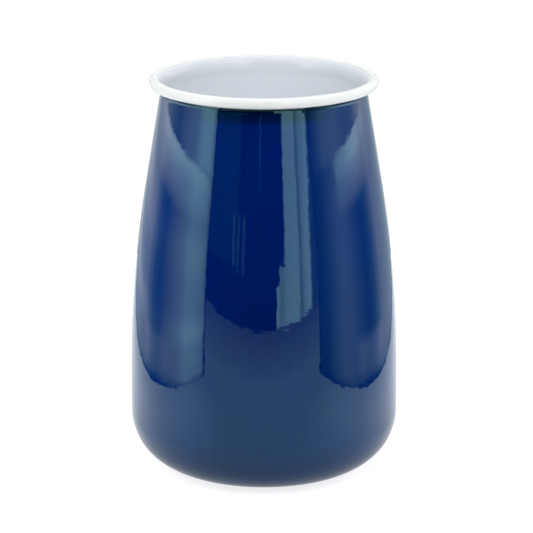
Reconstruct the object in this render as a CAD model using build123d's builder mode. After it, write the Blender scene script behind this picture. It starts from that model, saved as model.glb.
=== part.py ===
from build123d import *

import os
from math import acos, asin, atan2, cos, degrees, hypot, radians, sin, sqrt, tan

# An open milk pail of about two litres: one sheet of steel, drawn to a wide
# body, necked in towards the mouth and rolled outwards into a round rim, then
# coated all over with fired enamel. Blue enamel covers the outside, white
# enamel lines the inside and covers the rim, and a dark ground coat bonds
# both to the steel.
#
# Frame: millimetres, +Z up along the pail's axis, origin on the floor at the
# centre of the foot.

# --- Overall sizes, measured over the enamel -------------------------------
height = 190.0  # floor to the top of the rolled rim
body_diameter = 128.5  # the upright lower part of the wall
neck_diameter = 97.6  # the narrowest place, just under the rim
rim_diameter = 5.0  # thickness of the rolled rim itself

# --- Wall ------------------------------------------------------------------
straight_top = 42.5  # height at which the upright wall starts to lean in
knee_height = 90.3  # where the upright wall and the cone would meet unbent
corner_radius = 26.5  # outside of the bottom corner

# --- Lip and rim -----------------------------------------------------------
lip_radius = 8.0  # outside of the flare between the neck and the rolled rim
lip_lean = 40.0  # degrees that the flare leans out where the roll begins
rim_gap = 0.45  # left between the roll's end and the wall behind it

# --- Bottom ----------------------------------------------------------------
foot_width = 5.0  # the flat ring that the pail stands on
dish_height = 1.8  # how far the bottom's middle is pressed up
dish_radius = 8.0  # both bends of the step from the foot to the middle

# --- Sheet and coats -------------------------------------------------------
steel_thickness = 0.6
ground_coat = 0.16  # dark enamel, fired first, on both faces of the steel
cover_coat = 0.22  # blue or white enamel, fired over the ground coat

# Depths of the coats' and the sheet's faces below the blue outer face.
outer_ground_top = cover_coat
steel_outside = outer_ground_top + ground_coat
steel_inside = steel_outside + steel_thickness
inner_ground_top = steel_inside + ground_coat
wall_thickness = inner_ground_top + cover_coat

# The bottom, from the middle out to the foot.
body_radius = body_diameter / 2
foot_radius = body_radius - corner_radius
dish_angle = degrees(acos(1 - dish_height / (2 * dish_radius)))
panel_radius = foot_radius - foot_width - 2 * dish_radius * sin(radians(dish_angle))

# The roll's centre and the flare's centre. The flare is upright at the neck.
curl_radius = rim_diameter / 2 - wall_thickness
lip_to_curl = lip_radius - curl_radius
lip_centre_r = neck_diameter / 2 + lip_radius
curl_centre_r = lip_centre_r - lip_to_curl * cos(radians(lip_lean))
curl_centre_z = height - rim_diameter / 2
lip_centre_z = curl_centre_z - lip_to_curl * sin(radians(lip_lean))

# The cone runs from the knee to the flare, tangent to the flare.
knee_to_lip_r = lip_centre_r - body_radius
knee_to_lip_z = lip_centre_z - knee_height
knee_to_lip = hypot(knee_to_lip_r, knee_to_lip_z)
taper = degrees(asin(lip_radius / knee_to_lip) - atan2(knee_to_lip_r, knee_to_lip_z))
knee_tangent = knee_height - straight_top
bend_radius = knee_tangent / tan(radians(taper / 2))
cone_length = sqrt(knee_to_lip**2 - lip_radius**2) - knee_tangent

# The roll stops where its enamel comes within the gap of the flare, and the
# steel stops one coat earlier, because the rim's enamel seals the cut edge.
rim_radius = rim_diameter / 2
end_reach = lip_radius - rim_gap
curl_end = acos((lip_to_curl**2 + rim_radius**2 - end_reach**2) / (2 * lip_to_curl * rim_radius))
curl_sweep = 180 + degrees(curl_end)
seal_sweep = degrees(cover_coat / (curl_radius + (steel_outside + steel_inside) / 2))
steel_sweep = curl_sweep - seal_sweep


def sheet_face(depth, sweep):
    """Draw the line of one face, from the axis to the rim, and return its last edge.

    Every face bends about the same centres, so only its radii change with depth.
    A sweep of 0 stops it where the roll begins.
    """
    panel = Line((0, dish_height + depth), (panel_radius, dish_height + depth))
    dish = JernArc(panel @ 1, panel % 1, dish_radius + depth, -dish_angle)
    heel = JernArc(dish @ 1, dish % 1, dish_radius - depth, dish_angle)
    foot = Line(heel @ 1, (foot_radius, depth))
    corner = JernArc(foot @ 1, foot % 1, corner_radius - depth, 90)
    upright = Line(corner @ 1, (body_radius - depth, straight_top))
    bend = JernArc(upright @ 1, upright % 1, bend_radius - depth, taper)
    cone = Line(bend @ 1, bend @ 1 + (bend % 1) * cone_length)
    lip = JernArc(cone @ 1, cone % 1, lip_radius + depth, -(taper + lip_lean))
    if not sweep:
        return lip
    return JernArc(lip @ 1, lip % 1, curl_radius + depth, -sweep)


def coat_section(near, far, sweep=0):
    """Half the section of a coat or sheet that lies between two depths."""
    with BuildSketch(Plane.XZ) as section:
        with BuildLine() as outline:
            near_end = sheet_face(near, sweep)
            far_end = sheet_face(far, sweep)
            Line((0, dish_height + near), (0, dish_height + far))
            Line(near_end @ 1, far_end @ 1)
        make_face(outline.edges())
    return section.sketch


def curl_sector(near, far, sweep, mode=Mode.ADD):
    """Add or cut a sector of the roll between two depths, from where it begins."""
    centre = (curl_centre_r, curl_centre_z)
    start = 180 - lip_lean
    with BuildLine() as outline:
        inside = CenterArc(centre, curl_radius + near, start, -sweep)
        outside = CenterArc(centre, curl_radius + far, start, -sweep)
        Line(inside @ 0, outside @ 0)
        Line(inside @ 1, outside @ 1)
    make_face(outline.edges(), mode=mode)


# One sheet, drawn, necked and rolled: bottom, wall, flare and rim in one piece.
with BuildPart() as steel_body:
    revolve(coat_section(steel_outside, steel_inside, steel_sweep), axis=Axis.Z)

# The ground coat on the outside, which runs on into the hollow of the roll.
with BuildPart() as outer_ground_coat:
    revolve(coat_section(outer_ground_top, steel_outside, steel_sweep), axis=Axis.Z)

# The ground coat on the inside, which ends up outermost on the roll.
with BuildPart() as inner_ground_coat:
    revolve(coat_section(steel_inside, inner_ground_top, steel_sweep), axis=Axis.Z)

# The blue coat: underside, wall and neck, stopping behind the roll.
with BuildPart() as blue_enamel:
    revolve(coat_section(0, outer_ground_top), axis=Axis.Z)

# The white lining, up to the mouth's edge.
with BuildPart() as white_lining:
    revolve(coat_section(inner_ground_top, wall_thickness), axis=Axis.Z)

# The rim's white enamel, round the roll and over its cut edge.
with BuildPart() as rim_enamel:
    with BuildSketch(Plane.XZ) as rim_section:
        curl_sector(outer_ground_top, wall_thickness, curl_sweep)
        curl_sector(outer_ground_top, inner_ground_top, steel_sweep, mode=Mode.SUBTRACT)
    revolve(axis=Axis.Z)

pieces = {
    "steel_body": steel_body,
    "outer_ground_coat": outer_ground_coat,
    "inner_ground_coat": inner_ground_coat,
    "blue_enamel": blue_enamel,
    "white_lining": white_lining,
    "rim_enamel": rim_enamel,
}
os.makedirs("parts", exist_ok=True)
for name, piece in pieces.items():
    piece.part.label = name
    export_step(piece.part, f"parts/{name}.step")
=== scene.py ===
import math

import bmesh
import bpy
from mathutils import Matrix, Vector, noise


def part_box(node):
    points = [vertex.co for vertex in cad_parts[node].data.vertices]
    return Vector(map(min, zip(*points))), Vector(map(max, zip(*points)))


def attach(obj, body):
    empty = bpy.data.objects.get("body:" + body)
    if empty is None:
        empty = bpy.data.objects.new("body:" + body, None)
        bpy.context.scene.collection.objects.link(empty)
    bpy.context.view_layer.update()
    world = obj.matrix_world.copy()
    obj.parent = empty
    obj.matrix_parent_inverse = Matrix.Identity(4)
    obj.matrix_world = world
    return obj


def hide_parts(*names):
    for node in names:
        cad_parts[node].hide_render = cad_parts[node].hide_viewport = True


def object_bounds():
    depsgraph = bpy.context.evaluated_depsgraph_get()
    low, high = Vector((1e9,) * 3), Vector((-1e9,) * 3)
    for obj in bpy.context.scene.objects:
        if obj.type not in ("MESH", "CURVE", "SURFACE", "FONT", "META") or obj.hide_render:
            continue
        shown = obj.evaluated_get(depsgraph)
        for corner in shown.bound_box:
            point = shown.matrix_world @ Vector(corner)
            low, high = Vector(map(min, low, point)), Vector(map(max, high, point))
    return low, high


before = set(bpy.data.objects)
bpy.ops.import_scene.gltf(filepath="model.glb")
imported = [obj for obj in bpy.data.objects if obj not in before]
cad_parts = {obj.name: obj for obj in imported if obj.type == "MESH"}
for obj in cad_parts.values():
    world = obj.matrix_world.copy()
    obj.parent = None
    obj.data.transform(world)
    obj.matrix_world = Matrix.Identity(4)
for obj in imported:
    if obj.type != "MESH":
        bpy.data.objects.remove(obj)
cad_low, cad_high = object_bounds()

# An enamelled milk pail of about two litres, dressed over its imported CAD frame.


# --- Steel body ---------------------------------------------------------------------
# One sheet of low-carbon steel, drawn to a cup, necked in and rolled outwards at the
# mouth into an open hollow roll. It is pickled grey, with fine drawing lines round it,
# and enamel covers every side, so the frame's own solid is shape enough.
class Wire:
    """A node's output. Sums written on it add Math nodes, and node() adds any other."""

    def __init__(self, socket):
        self.socket = socket

    def node(self, kind, settings=None, sockets=None, output=0):
        """Add a node beside this one and return one of its outputs."""
        tree = self.socket.id_data
        added = tree.nodes.new(kind)
        for name, value in (settings or {}).items():
            if name == "stops":
                set_stops(added.color_ramp, value)
            else:
                setattr(added, name, value)
        for name, value in (sockets or {}).items():
            if isinstance(value, Wire):
                tree.links.new(value.socket, added.inputs[name])
            else:
                added.inputs[name].default_value = value
        return Wire(added.outputs[output])

    def sum(self, operation, first, second):
        return self.node("ShaderNodeMath", {"operation": operation}, {0: first, 1: second})

    def __add__(self, other):
        return self.sum("ADD", self, other)

    def __radd__(self, other):
        return self.sum("ADD", other, self)

    def __sub__(self, other):
        return self.sum("SUBTRACT", self, other)

    def __rsub__(self, other):
        return self.sum("SUBTRACT", other, self)

    def __mul__(self, other):
        return self.sum("MULTIPLY", self, other)

    def __rmul__(self, other):
        return self.sum("MULTIPLY", other, self)

    def __truediv__(self, other):
        return self.sum("DIVIDE", self, other)

    def ramp(self, *stops):
        """Turn this value into a colour, by stops of (place, colour)."""
        return self.node("ShaderNodeValToRGB", {"stops": stops}, {"Fac": self})

    def step(self, start, end):
        """Ease from 0 to 1 as this value goes from start to end."""
        return self.node("ShaderNodeMapRange", {"interpolation_type": "SMOOTHSTEP"},
                         {"Value": self, "From Min": start, "From Max": end})

    def cloud(self, size, detail=2.0):
        """Noise about this place, with patches of the given size in metres."""
        return self.node("ShaderNodeTexNoise", {},
                         {"Vector": self, "Scale": 1 / size, "Detail": detail})

    def stretch(self, x, y, z):
        """This place, scaled along each axis."""
        return self.node("ShaderNodeMapping", {}, {"Vector": self, "Scale": (x, y, z)})

    def specks(self, spacing, inside, outside):
        """Small round specks about this place: 1 within a share of the spacing, then 0."""
        cells = self.node("ShaderNodeTexVoronoi", {}, {"Vector": self, "Scale": 1 / spacing})
        return 1 - cells.step(inside, outside)

    def part(self, axis):
        """This place's X, Y or Z."""
        return self.node("ShaderNodeSeparateXYZ", {}, {"Vector": self}, output=axis)

    def tint(self, first, second):
        """Blend two colours, with this value as the share of the second."""
        return self.node("ShaderNodeMix", {"data_type": "RGBA"},
                         {0: self, 6: first, 7: second}, output=2)


def set_stops(ramp, stops):
    """Give a ramp its stops of (place, colour)."""
    while len(ramp.elements) < len(stops):
        ramp.elements.new(1.0)
    for element, (place, colour) in zip(ramp.elements, stops):
        element.position = place
        element.color = (*colour, 1.0)


def start_finish(name, **constants):
    """A new material, its Principled shader with these constants, and the place wire."""
    material = bpy.data.materials.new(name)
    material.use_nodes = True
    shader = material.node_tree.nodes["Principled BSDF"]
    for socket, value in constants.items():
        shader.inputs[socket.replace("_", " ")].default_value = value
    place = material.node_tree.nodes.new("ShaderNodeTexCoord")
    return material, shader, Wire(place.outputs["Object"])


def plug(shader, **wires):
    """Link wires to a shader's sockets."""
    for socket, wire in wires.items():
        shader.id_data.links.new(wire.socket, shader.inputs[socket.replace("_", " ")])


def relief(height, depth):
    """A normal from a height wire whose full range stands for this depth in metres."""
    return height.node("ShaderNodeBump", {}, {"Height": height, "Strength": 1.0, "Distance": depth})


def dress(node, material):
    """Give a node of the frame a better material in all its slots."""
    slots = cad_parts[node].data.materials
    for index in range(len(slots)):
        slots[index] = material


def pickled_steel():
    material, shader, place = start_finish("pickled_steel", Metallic=1.0)
    lines = place.stretch(0.05, 0.05, 1.0).cloud(0.0004, 4.0)
    smut = place.cloud(0.012, 5.0)
    plug(
        shader,
        Base_Color=smut.ramp((0.3, (0.20, 0.20, 0.21)), (0.7, (0.46, 0.46, 0.47))),
        Roughness=0.34 + 0.22 * smut,
        Normal=relief(lines, 0.00001),
    )
    return material


dress("steel_body", pickled_steel())


# --- Ground coats -------------------------------------------------------------------
# The first enamel, dipped and fired on both faces of the steel. It is blue-black from
# its cobalt and nickel, glossy and faintly blistered, and it shows only as the dark
# line in the gap between the rolled rim and the neck.
def ground_enamel():
    material, shader, place = start_finish("ground_enamel", IOR=1.55)
    blister = place.cloud(0.0006, 3.0)
    cast = place.cloud(0.02, 3.0)
    plug(
        shader,
        Base_Color=cast.ramp((0.35, (0.004, 0.004, 0.007)), (0.7, (0.010, 0.012, 0.024))),
        Roughness=0.16 + 0.12 * blister,
        Normal=relief(blister, 0.00002),
    )
    return material


ground_finish = ground_enamel()
dress("outer_ground_coat", ground_finish)
dress("inner_ground_coat", ground_finish)


# --- Blue coat ----------------------------------------------------------------------
# Cobalt-blue cover enamel, dipped over the ground coat and fired. It runs from the
# pressed-up middle of the bottom, over the foot and the large corner, up the wall and
# the cone to the neck, and ends behind the rolled rim. It is thinnest on tight bends.
cover_coat = 0.00022
sheet_wall = 0.00136
rim_low, rim_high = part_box("rim_enamel")

body_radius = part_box("blue_enamel")[1].x
straight_top = 0.0425
knee_height = 0.0903
corner_radius = 0.0265
neck_radius = 0.0488
lip_radius = 0.008
lip_lean = math.radians(40.0)
foot_width = 0.005
dish_height = 0.0018
dish_radius = 0.008

rim_radius = 0.0025
curl_height = rim_high.z - rim_radius
foot_radius = body_radius - corner_radius
dish_angle = math.acos(1 - dish_height / (2 * dish_radius))
panel_radius = foot_radius - foot_width - 2 * dish_radius * math.sin(dish_angle)
curl_radius = rim_radius - sheet_wall
lip_to_curl = lip_radius - curl_radius
lip_centre = Vector((neck_radius + lip_radius, 0, curl_height - lip_to_curl * math.sin(lip_lean)))
lip_to_roll = Vector((-math.cos(lip_lean), 0, math.sin(lip_lean)))
curl_centre = lip_centre + lip_to_curl * lip_to_roll
knee_to_lip = lip_centre - Vector((body_radius, 0, knee_height))
taper = math.asin(lip_radius / knee_to_lip.length) - math.atan2(knee_to_lip.x, knee_to_lip.z)
bend_radius = (knee_height - straight_top) / math.tan(taper / 2)
cone_length = math.sqrt(knee_to_lip.length_squared - lip_radius**2) - (knee_height - straight_top)

RIGHT_TURN = -1
blue_pitch = 0.0016
blue_segments = 240
merge_distance = 0.000002


class Pen:
    """Draws a section in the XZ plane as a chain of edges, by straights and bends."""

    def __init__(self, mesh, start, heading=0.0):
        self.mesh = mesh
        self.tip = mesh.verts.new(start)
        self.heading = heading

    def straight(self, length, pitch):
        steps = max(1, round(length / pitch))
        stride = Vector((math.cos(self.heading), 0, math.sin(self.heading))) * (length / steps)
        for _ in range(steps):
            self.tip = bmesh.ops.extrude_vert_indiv(self.mesh, verts=[self.tip])["verts"][0]
            bmesh.ops.translate(self.mesh, verts=[self.tip], vec=stride)

    def bend(self, radius, turn, pitch):
        steps = max(2, round(radius * abs(turn) / pitch))
        side = math.copysign(radius, turn)
        centre = self.tip.co + Vector((-math.sin(self.heading), 0, math.cos(self.heading))) * side
        arc = bmesh.ops.spin(self.mesh, geom=[self.tip], cent=centre, axis=(0, -1, 0),
                             angle=turn, steps=steps)
        self.tip = arc["geom_last"][0]
        self.heading += turn


def draw_sheet(mesh, depth, pitch):
    """Draw one face of the drawn sheet, from the axis to where the roll begins."""
    pen = Pen(mesh, (0, 0, dish_height + depth))
    pen.straight(panel_radius, pitch)
    pen.bend(dish_radius + depth, -dish_angle, pitch)
    pen.bend(dish_radius - depth, dish_angle, pitch)
    pen.straight(foot_width, pitch)
    pen.bend(corner_radius - depth, math.radians(90), pitch)
    pen.straight(straight_top - corner_radius, pitch)
    pen.bend(bend_radius - depth, taper, pitch)
    pen.straight(cone_length, pitch)
    pen.bend(lip_radius + depth, RIGHT_TURN * (taper + lip_lean), pitch / 3)


def dip_unevenness(place):
    """How far fired enamel lies below its thickest level at a place, as a negative lift."""
    swell = 0.000030
    long_wave = 0.030
    short_wave = 0.012
    short_share = 0.4
    half_height = (1 + short_share) / 2
    even_from = rim_low.z - 0.004
    fade_length = 0.01
    fade = min(1.0, max(0.0, (even_from - place.z) / fade_length))
    waves = noise.noise(place / long_wave) + short_share * noise.noise(place / short_wave)
    return swell * fade * min(0.0, waves - half_height)


def away_from_axis(face):
    """Which way is outwards at a face: away from the pail's axis, and a little down."""
    centre = face.calc_center_median()
    return Vector((centre.x, centre.y, 0)) - Vector((0, 0, 0.001))


def turn_coat(name, mesh, thickness, material, segments, faces_in=False):
    """Spin a drawn section into a closed coat with a thickness, and make its object.

    The free face looks outwards, or with faces_in towards the axis.
    """
    bmesh.ops.spin(mesh, geom=mesh.verts[:] + mesh.edges[:], cent=(0, 0, 0), axis=(0, 0, 1),
                   angle=math.tau, steps=segments, use_merge=True)
    bmesh.ops.remove_doubles(mesh, verts=mesh.verts, dist=merge_distance)
    bmesh.ops.recalc_face_normals(mesh, faces=mesh.faces)
    outwards = sum(face.normal.dot(away_from_axis(face)) * face.calc_area() for face in mesh.faces)
    if (outwards > 0) == faces_in:
        bmesh.ops.reverse_faces(mesh, faces=mesh.faces)
    mesh.normal_update()
    lifts = [(vert, vert.normal * dip_unevenness(vert.co)) for vert in mesh.verts]
    for vert, lift in lifts:
        vert.co += lift
    bmesh.ops.solidify(mesh, geom=mesh.faces[:], thickness=thickness)
    for face in mesh.faces:
        face.smooth = True
    data = bpy.data.meshes.new(name)
    mesh.to_mesh(data)
    mesh.free()
    data.materials.append(material)
    coat = bpy.data.objects.new(name, data)
    bpy.context.scene.collection.objects.link(coat)
    return coat


def blue_enamel():
    material, shader, place = start_finish("cobalt_blue_enamel", IOR=1.55,
                                           Specular_Tint=(0.48, 1.0, 1.0, 1.0))
    clouds = place.cloud(0.035, 3.0)
    peel = place.cloud(0.0036, 1.0)
    runs = place.stretch(1.0, 1.0, 0.10).cloud(0.0022, 2.0)
    pinholes = place.specks(0.016, 0.010, 0.022)
    thick = (0.0, 0.0068, 0.100)
    full = (0.0, 0.0084, 0.120)
    bright_run = (0.0, 0.013, 0.135, 1.0)
    thin_blue = (0.0, 0.001, 0.012, 1.0)
    bare_edge = (0.0, 0.0, 0.002, 1.0)
    rubbed_foot = (0.0, 0.002, 0.02, 1.0)
    pale_pit = (0.02, 0.03, 0.06, 1.0)
    # Painted shade: the front of the neck is darkened towards the rim, standing in for the rim's
    # shadow, on the front only.
    front = 1 - place.part(1).step(-0.046, -0.036)
    thinned = 0.72 * front * place.part(2).step(rim_low.z - 0.0095, rim_low.z - 0.0050)
    # Near-black over the last few millimetres below the rim, all round: blue drained thin to the
    # dark ground coat, and painted shade of the roll's overhang.
    drained = 0.97 * place.part(2).step(rim_low.z - 0.0035, rim_low.z - 0.0004)
    # Darker blue over the lowest 2.5 mm, on the foot and the bottom.
    worn_foot = 1 - place.part(2).step(0.0003, 0.0025)
    colour = clouds.ramp((0.35, thick), (0.65, full))
    colour = (0.35 * runs.step(0.50, 0.72)).tint(colour, bright_run)
    colour = thinned.tint(colour, thin_blue)
    colour = drained.tint(colour, bare_edge)
    colour = (0.45 * worn_foot).tint(colour, rubbed_foot)
    colour = (0.7 * pinholes).tint(colour, pale_pit)
    plug(
        shader,
        Base_Color=colour,
        Roughness=0.02 + 0.02 * clouds,
        Normal=relief(0.75 * peel + 0.25 * runs, 0.000034),
    )
    return material


section = bmesh.new()
draw_sheet(section, 0.0, blue_pitch)
blue_coat = turn_coat("blue_cover_coat", section, cover_coat, blue_enamel(), blue_segments)
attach(blue_coat, "root")
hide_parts("blue_enamel")


# --- White lining -------------------------------------------------------------------
# Opaque white cover enamel on the inside, dipped and fired with the blue. It covers
# the floor of the pail and the wall up to the mouth, where it runs on into the rim's
# white without a step.
lining_pitch = 0.0024
lining_segments = 192


def white_enamel(name, colour, shade, thin):
    """Opaque white: a colour and its faint shade in clouds, and darker at the mouth as painted
    shade.
    """
    material, shader, place = start_finish(name, IOR=1.55)
    clouds = place.cloud(0.030, 3.0)
    peel = place.cloud(0.0030, 2.0)
    specks = place.specks(0.020, 0.006, 0.014)
    grey_speck = (0.20, 0.21, 0.24, 1.0)
    body = clouds.ramp((0.3, shade), (0.7, colour))
    # Painted shade: the white darkens towards the mouth's edge.
    mouth = place.part(2).step(rim_low.z - 0.006, rim_low.z + 0.0015)
    body = mouth.tint(body, (*thin, 1.0))
    plug(
        shader,
        Base_Color=(0.6 * specks).tint(body, grey_speck),
        Roughness=0.07 + 0.05 * clouds,
        Normal=relief(peel, 0.000006),
    )
    return material


lining_white = white_enamel("white_lining_enamel", colour=(0.90, 0.935, 0.98),
                            shade=(0.89, 0.925, 0.975), thin=(0.68, 0.71, 0.75))
section = bmesh.new()
draw_sheet(section, sheet_wall, lining_pitch)
lining = turn_coat("white_lining_coat", section, cover_coat, lining_white, lining_segments,
                   faces_in=True)
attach(lining, "root")
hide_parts("white_lining")


# --- Rim coat -----------------------------------------------------------------------
# White enamel round the rolled rim, brushed on after dipping and fired. It starts at
# the mouth's edge where the lining ends, goes round the roll and closes over the cut
# edge of the steel, a hair's breadth from the neck.
rim_gap = 0.00045
end_reach = lip_radius - rim_gap
end_cosine = (lip_to_curl**2 + rim_radius**2 - end_reach**2) / (2 * lip_to_curl * rim_radius)
curl_sweep = math.pi + math.acos(end_cosine)
edge_bead = 0.00030
roll_pitch = 0.0004
bead_pitch = 0.00015
end_pitch = 0.0003
rim_segments = 288


def draw_rim(mesh):
    """Draw the roll's outer face clockwise from the mouth's edge, and its folded end."""
    pen = Pen(mesh, curl_centre + rim_radius * lip_to_roll, math.radians(90) - lip_lean)
    pen.bend(rim_radius, RIGHT_TURN * (curl_sweep - edge_bead / rim_radius), roll_pitch)
    pen.bend(edge_bead, RIGHT_TURN * math.radians(90), bead_pitch)
    pen.straight(sheet_wall - 2 * cover_coat - edge_bead, end_pitch)


# The rim's white is set greyer than the lining's: painted shade on the brightly lit roll.
rim_white = white_enamel("white_rim_enamel", colour=(0.74, 0.75, 0.745),
                         shade=(0.70, 0.715, 0.705), thin=(0.73, 0.74, 0.735))
section = bmesh.new()
draw_rim(section)
rim_coat = turn_coat("white_rim_coat", section, cover_coat, rim_white, rim_segments)
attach(rim_coat, "root")
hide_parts("rim_enamel")


# --- Floor --------------------------------------------------------------------------
# A plain white studio floor, level with the foot ring and wide enough for any view. It
# glows, as a lit table does, and the glow dims towards the pail's foot: painted shade round the
# pail, on top of the pail's own soft shadow.
floor_reach = 6.0


def from_foot(place):
    """How far a place on the table is from the middle of the pail's foot."""
    return place.node("ShaderNodeVectorMath", {"operation": "LENGTH"}, {0: place}, output=1)


def floor_white():
    material, shader, place = start_finish("floor_white", Roughness=0.9, IOR=1.05,
                                           Base_Color=(0.5, 0.5, 0.5, 1.0), Emission_Strength=1.0)
    near_pail = (0.80, 0.80, 0.80)
    white = (1.0, 1.0, 1.0)
    plug(shader, Emission_Color=from_foot(place).ramp((0.05, near_pail), (0.30, white)))
    return material


def make_card(name, centre, size, facing, material):
    """A flat rectangle of a width and a height about its centre, looking one way."""
    mesh = bmesh.new()
    bmesh.ops.create_grid(mesh, x_segments=1, y_segments=1, size=0.5)
    bmesh.ops.scale(mesh, verts=mesh.verts, vec=(*size, 1))
    turn = Vector(facing).to_track_quat("Z", "Y").to_matrix()
    bmesh.ops.rotate(mesh, verts=mesh.verts, matrix=turn)
    bmesh.ops.translate(mesh, verts=mesh.verts, vec=centre)
    data = bpy.data.meshes.new(name)
    mesh.to_mesh(data)
    mesh.free()
    data.materials.append(material)
    card = bpy.data.objects.new(name, data)
    bpy.context.scene.collection.objects.link(card)
    card.visible_transmission = False
    card.visible_volume_scatter = False
    card.visible_shadow = False
    return card


floor = make_card("studio_floor", (0, 0, cad_low[2]), (2 * floor_reach, 2 * floor_reach),
                  (0, 0, 1), floor_white())
floor.visible_glossy = False
floor.visible_diffuse = False


# --- Studio -------------------------------------------------------------------------
# A white light box about three pails wide, open towards the camera, on a pale table in
# a dim room with a window, all made of cards that only the gloss sees. Softboxes at its
# top, sides, front and back and the table's bounce give the light.
box_half = 0.208
box_back = 0.40
box_top = 0.42
left_front = -0.195
right_front = -0.215
table_front = -0.60
room_front = -1.50
under_floor = -0.0005
card_colour = (0.95, 1.0, 1.03)


def glow(name, strength, shade=None):
    """An emission material whose strength, and any shade, are worked out from the place."""
    material = bpy.data.materials.new(name)
    material.use_nodes = True
    tree = material.node_tree
    tree.nodes.clear()
    place = Wire(tree.nodes.new("ShaderNodeTexCoord").outputs["Object"])
    level = strength(place)
    colour = shade(level) if shade else card_colour
    lit = place.node("ShaderNodeVectorMath", {"operation": "SCALE"}, {0: colour, "Scale": level})
    light = place.node("ShaderNodeEmission", {}, {"Color": lit, "Strength": 1.0})
    output = tree.nodes.new("ShaderNodeOutputMaterial")
    tree.links.new(light.socket, output.inputs["Surface"])
    return material


def levels(value, *stops):
    """Straight runs between stops of (value, level)."""
    low = stops[0][0]
    reach = stops[-1][0] - low
    top = max(level for _, level in stops)
    greys = [((place - low) / reach, (level / top,) * 3) for place, level in stops]
    return top * ((value - low) / reach).ramp(*greys)


def dim_blue(level):
    """The box's sides and the room: white where they are lit, bluer where they are dim."""
    full_range = 2
    deep_blue = (0.10, 0.90, 1.00)
    pale_blue = (0.60, 0.97, 1.00)
    return (level / full_range).ramp((0.10, deep_blue), (0.28, pale_blue), (0.50, card_colour))


def band(value, low, high, edge):
    """1 between two values, 0 outside them, with soft edges of a given width."""
    rise = value.step(low - edge / 2, low + edge / 2)
    fall = value.step(high - edge / 2, high + edge / 2)
    return rise * (1 - fall)


def foot_shade(z):
    """The shade where a side wall meets the table."""
    return levels(z, (0.0, 0.35), (0.006, 0.85), (0.02, 1.0))


def hem(y, z):
    """The soft light that a side wall catches low down beside the pail."""
    return 0.40 * band(y, -0.05, 0.07, 0.04) * band(z, 0.008, 0.036, 0.014)


def left_wall(place):
    y = place.part(1)
    z = place.part(2)
    lower = levels(y, (-0.20, 0.3), (-0.18, 1.7), (-0.14, 2.1), (-0.11, 2.1), (-0.08, 1.35),
                   (-0.04, 0.72), (0.0, 0.32), (0.03, 0.40), (0.08, 0.85), (0.40, 0.8))
    upper = levels(y, (-0.20, 0.8), (-0.17, 2.9), (-0.125, 2.9), (-0.09, 1.5), (-0.04, 1.0),
                   (0.0, 0.5), (0.06, 0.75), (0.20, 0.9))
    strip = levels(y, (-0.20, 0.0), (-0.16, 1.3), (-0.12, 1.7), (-0.04, 2.6), (0.0, 2.9),
                   (0.08, 1.5), (0.13, 0.7), (0.20, 0.2))
    across = levels(z, (0.13, 0.0), (0.15, 0.6), (0.158, 1.0), (0.161, 1.0), (0.164, 0.0))
    folds = 1 + 0.35 * band(z, 0.035, 0.052, 0.02) + 0.25 * band(z, 0.09, 0.12, 0.03)
    share = z.step(0.162, 0.167)
    cloth = lower * folds * (1 - share) + upper * share
    return (cloth + strip * across + hem(y, z)) * foot_shade(z)


def right_wall(place):
    y = place.part(1)
    z = place.part(2)
    lower = levels(y, (-0.215, 0.25), (-0.17, 0.36), (-0.10, 0.88), (-0.07, 0.78), (-0.04, 0.5),
                   (0.0, 0.28), (0.03, 0.38), (0.08, 0.87), (0.20, 0.76), (0.40, 0.7))
    upper = levels(y, (-0.215, 0.3), (-0.17, 0.6), (-0.14, 1.0), (-0.08, 1.1), (-0.02, 0.7),
                   (0.02, 0.7), (0.08, 1.4))
    strip = levels(y, (-0.10, 0.0), (-0.08, 1.5), (-0.04, 2.3), (0.0, 2.9), (0.03, 2.4),
                   (0.06, 1.2), (0.13, 0.3), (0.20, 0.1))
    across = levels(z, (0.13, 0.0), (0.15, 0.6), (0.158, 1.0), (0.164, 1.0), (0.167, 0.0))
    share = z.step(0.165, 0.169)
    cloth = lower * (1 - share) + upper * share
    return (cloth + strip * across + hem(y, z)) * foot_shade(z)


def table_light(place):
    y = place.part(1)
    aside = place.node("ShaderNodeMath", {"operation": "ABSOLUTE"}, {0: place.part(0)})
    front = levels(y, (-0.63, 0.2), (-0.60, 0.42), (-0.50, 0.52), (-0.34, 0.78), (-0.30, 0.90),
                   (-0.28, 1.0))
    beside = levels(aside, (0.0, 0.0), (0.05, 0.05), (0.10, 0.22), (0.15, 0.5), (0.20, 0.4))
    in_box = y.step(-0.2, -0.1)
    # Painted shadow of the pail on the table: the card's glow drops towards the foot.
    clear_of_pail = 0.60 + 0.40 * from_foot(place).step(0.05, 0.09)
    return front * (1 + beside * in_box) * clear_of_pail


def room_light(place):
    x = place.part(0)
    z = place.part(2)
    lean = 0.13 * z.step(0.20, 0.32) * x.step(1.0, 1.3)
    panes = levels(x - lean, (0.47, 0.0), (0.52, 2.2), (0.87, 2.4), (0.93, 1.05), (0.96, 1.05),
                   (1.05, 2.0), (1.22, 2.7), (1.30, 2.1), (1.35, 0.7), (1.40, 0.35))
    sill = band(x, 0.35, 0.50, 0.02) * (1 - z.step(0.055, 0.07)) * 1.6
    low_sill = band(x, 0.28, 0.35, 0.02) * (1 - z.step(0.0, 0.015)) * 2.1
    slats = band(x, -0.80, -0.75, 0.03) + band(x, -0.66, -0.60, 0.03) + band(x, -0.53, -0.45, 0.04)
    door = 0.38 * slats * band(z, 0.04, 0.23, 0.03)
    far_wall = 0.15 * (1 - x.step(-0.72, -0.60)) * z.step(0.03, 0.09)
    ceiling_line = 0.3 * band(x, -0.12, -0.07, 0.03) * z.step(0.25, 0.30)
    dimmest = 0.05
    return dimmest + panes + sill + low_sill + door + far_wall + ceiling_line


def even(level):
    """The same level all over a card."""
    return lambda place: level


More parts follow.
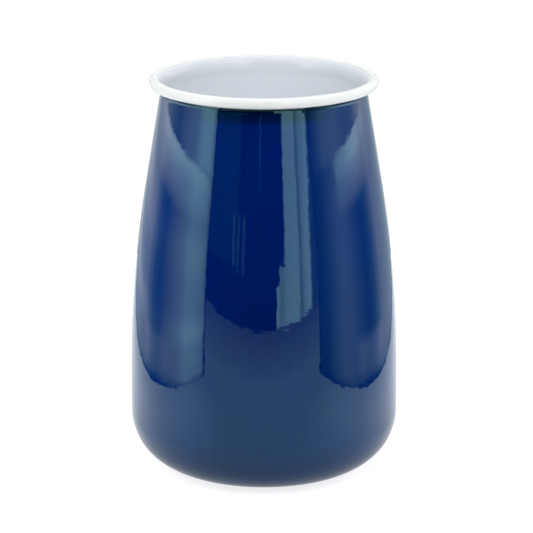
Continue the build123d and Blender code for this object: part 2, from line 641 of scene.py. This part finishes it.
def gloss_card(name, centre, size, facing, strength, shade=None):
    """A card that shows only in the gloss."""
    card = make_card(name, centre, size, facing, glow(name, strength, shade))
    card.visible_camera = False
    card.visible_diffuse = False


def gloss_wall(name, side, front, strength):
    """A side wall of the box, from its front edge back to the back wall."""
    middle = (side * box_half, (front + box_back) / 2, box_top / 2)
    gloss_card(name, middle, (box_back - front, box_top), (-side, 0, 0), strength, dim_blue)


up, down = (0, 0, 1), (0, 0, -1)
to_front, to_back = (0, -1, 0), (0, 1, 0)
ceiling_depth = 0.60
table_width = 3.0
table_middle = (table_front + box_back) / 2
room_size = (8.0, 2.4)
room_middle = (0, room_front, 0.60)

gloss_wall("left_wall", -1, left_front, left_wall)
gloss_wall("right_wall", 1, right_front, right_wall)
gloss_card("back_wall", (0, box_back, box_top / 2), (2 * box_half, box_top), to_front, even(0.85))
gloss_card("ceiling", (0, 0.10, box_top), (2 * box_half, ceiling_depth), down, even(1.0))
gloss_card("left_post", (-0.2105, -0.198, box_top / 2), (0.011, box_top), to_back, even(0.02))
gloss_card("right_post", (0.217, -0.220, box_top / 2), (0.018, box_top), to_back, even(0.02))
gloss_card("table", (0, table_middle, under_floor), (table_width, box_back - table_front), up,
           table_light)
gloss_card("room", room_middle, room_size, to_back, room_light, dim_blue)

bounce = make_card("table_bounce", (0, 0, under_floor), (1.2, 1.2), up,
                   glow("table_bounce", even(0.6)))
bounce.visible_camera = False
bounce.visible_glossy = False


def softbox(name, place, facing, size, radiance):
    """A lamp of a width, a height and an even radiance, which the gloss doesn't see."""
    lamp = bpy.data.lights.new(name, "AREA")
    lamp.shape = "RECTANGLE"
    lamp.size, lamp.size_y = size
    lamp.energy = radiance * math.pi * size[0] * size[1]
    holder = bpy.data.objects.new(name, lamp)
    holder.location = place
    holder.rotation_euler = Vector(facing).to_track_quat("-Z", "Y").to_euler()
    holder.visible_glossy = False
    holder.visible_camera = False
    bpy.context.scene.collection.objects.link(holder)


softbox("ceiling_softbox", (0, 0.09, box_top), down, (2 * box_half, box_top), 2.1)
for name, side in (("left_softbox", -1), ("right_softbox", 1)):
    softbox(name, (side * box_half, -0.075, 0.13), (-side, 0, 0), (0.25, 0.12), 3.7)
softbox("front_softbox", (0, -0.28, 0.35), (0, 0.23, -0.16), (0.24, 0.24), 4.0)
softbox("back_softbox", (0, box_back, 0.16), to_front, (2 * box_half, 0.30), 1.8)

world = bpy.data.worlds.new("studio_air")
world.use_nodes = True
sky = world.node_tree
sky.nodes.clear()
path = sky.nodes.new("ShaderNodeLightPath")
seen = Wire(path.outputs["Is Camera Ray"])
stray_light = 0.05
air = seen.node("ShaderNodeBackground", {},
                {"Color": (1, 1, 1, 1), "Strength": seen + (1 - seen) * stray_light})
sky.links.new(air.socket, sky.nodes.new("ShaderNodeOutputWorld").inputs["Surface"])
bpy.context.scene.world = world


# --- Camera -------------------------------------------------------------------------
# A long lens from a little over a metre away, looking down at the pail's middle. The
# standard view leaves the enamel's colours as they are.
camera_reach = 1.300
camera_rise = math.radians(15.8)
aim = Vector((0.0012, 0.0, 0.0967))
camera = bpy.data.cameras.new("studio_camera")
camera.sensor_width = 36.0
camera.lens = 183.4
camera_object = bpy.data.objects.new("studio_camera", camera)
sight = Vector((0, math.cos(camera_rise), -math.sin(camera_rise)))
camera_object.location = aim - camera_reach * sight
camera_object.rotation_euler = sight.to_track_quat("-Z", "Y").to_euler()
bpy.context.scene.collection.objects.link(camera_object)
bpy.context.scene.camera = camera_object
bpy.context.scene.view_settings.view_transform = "Standard"
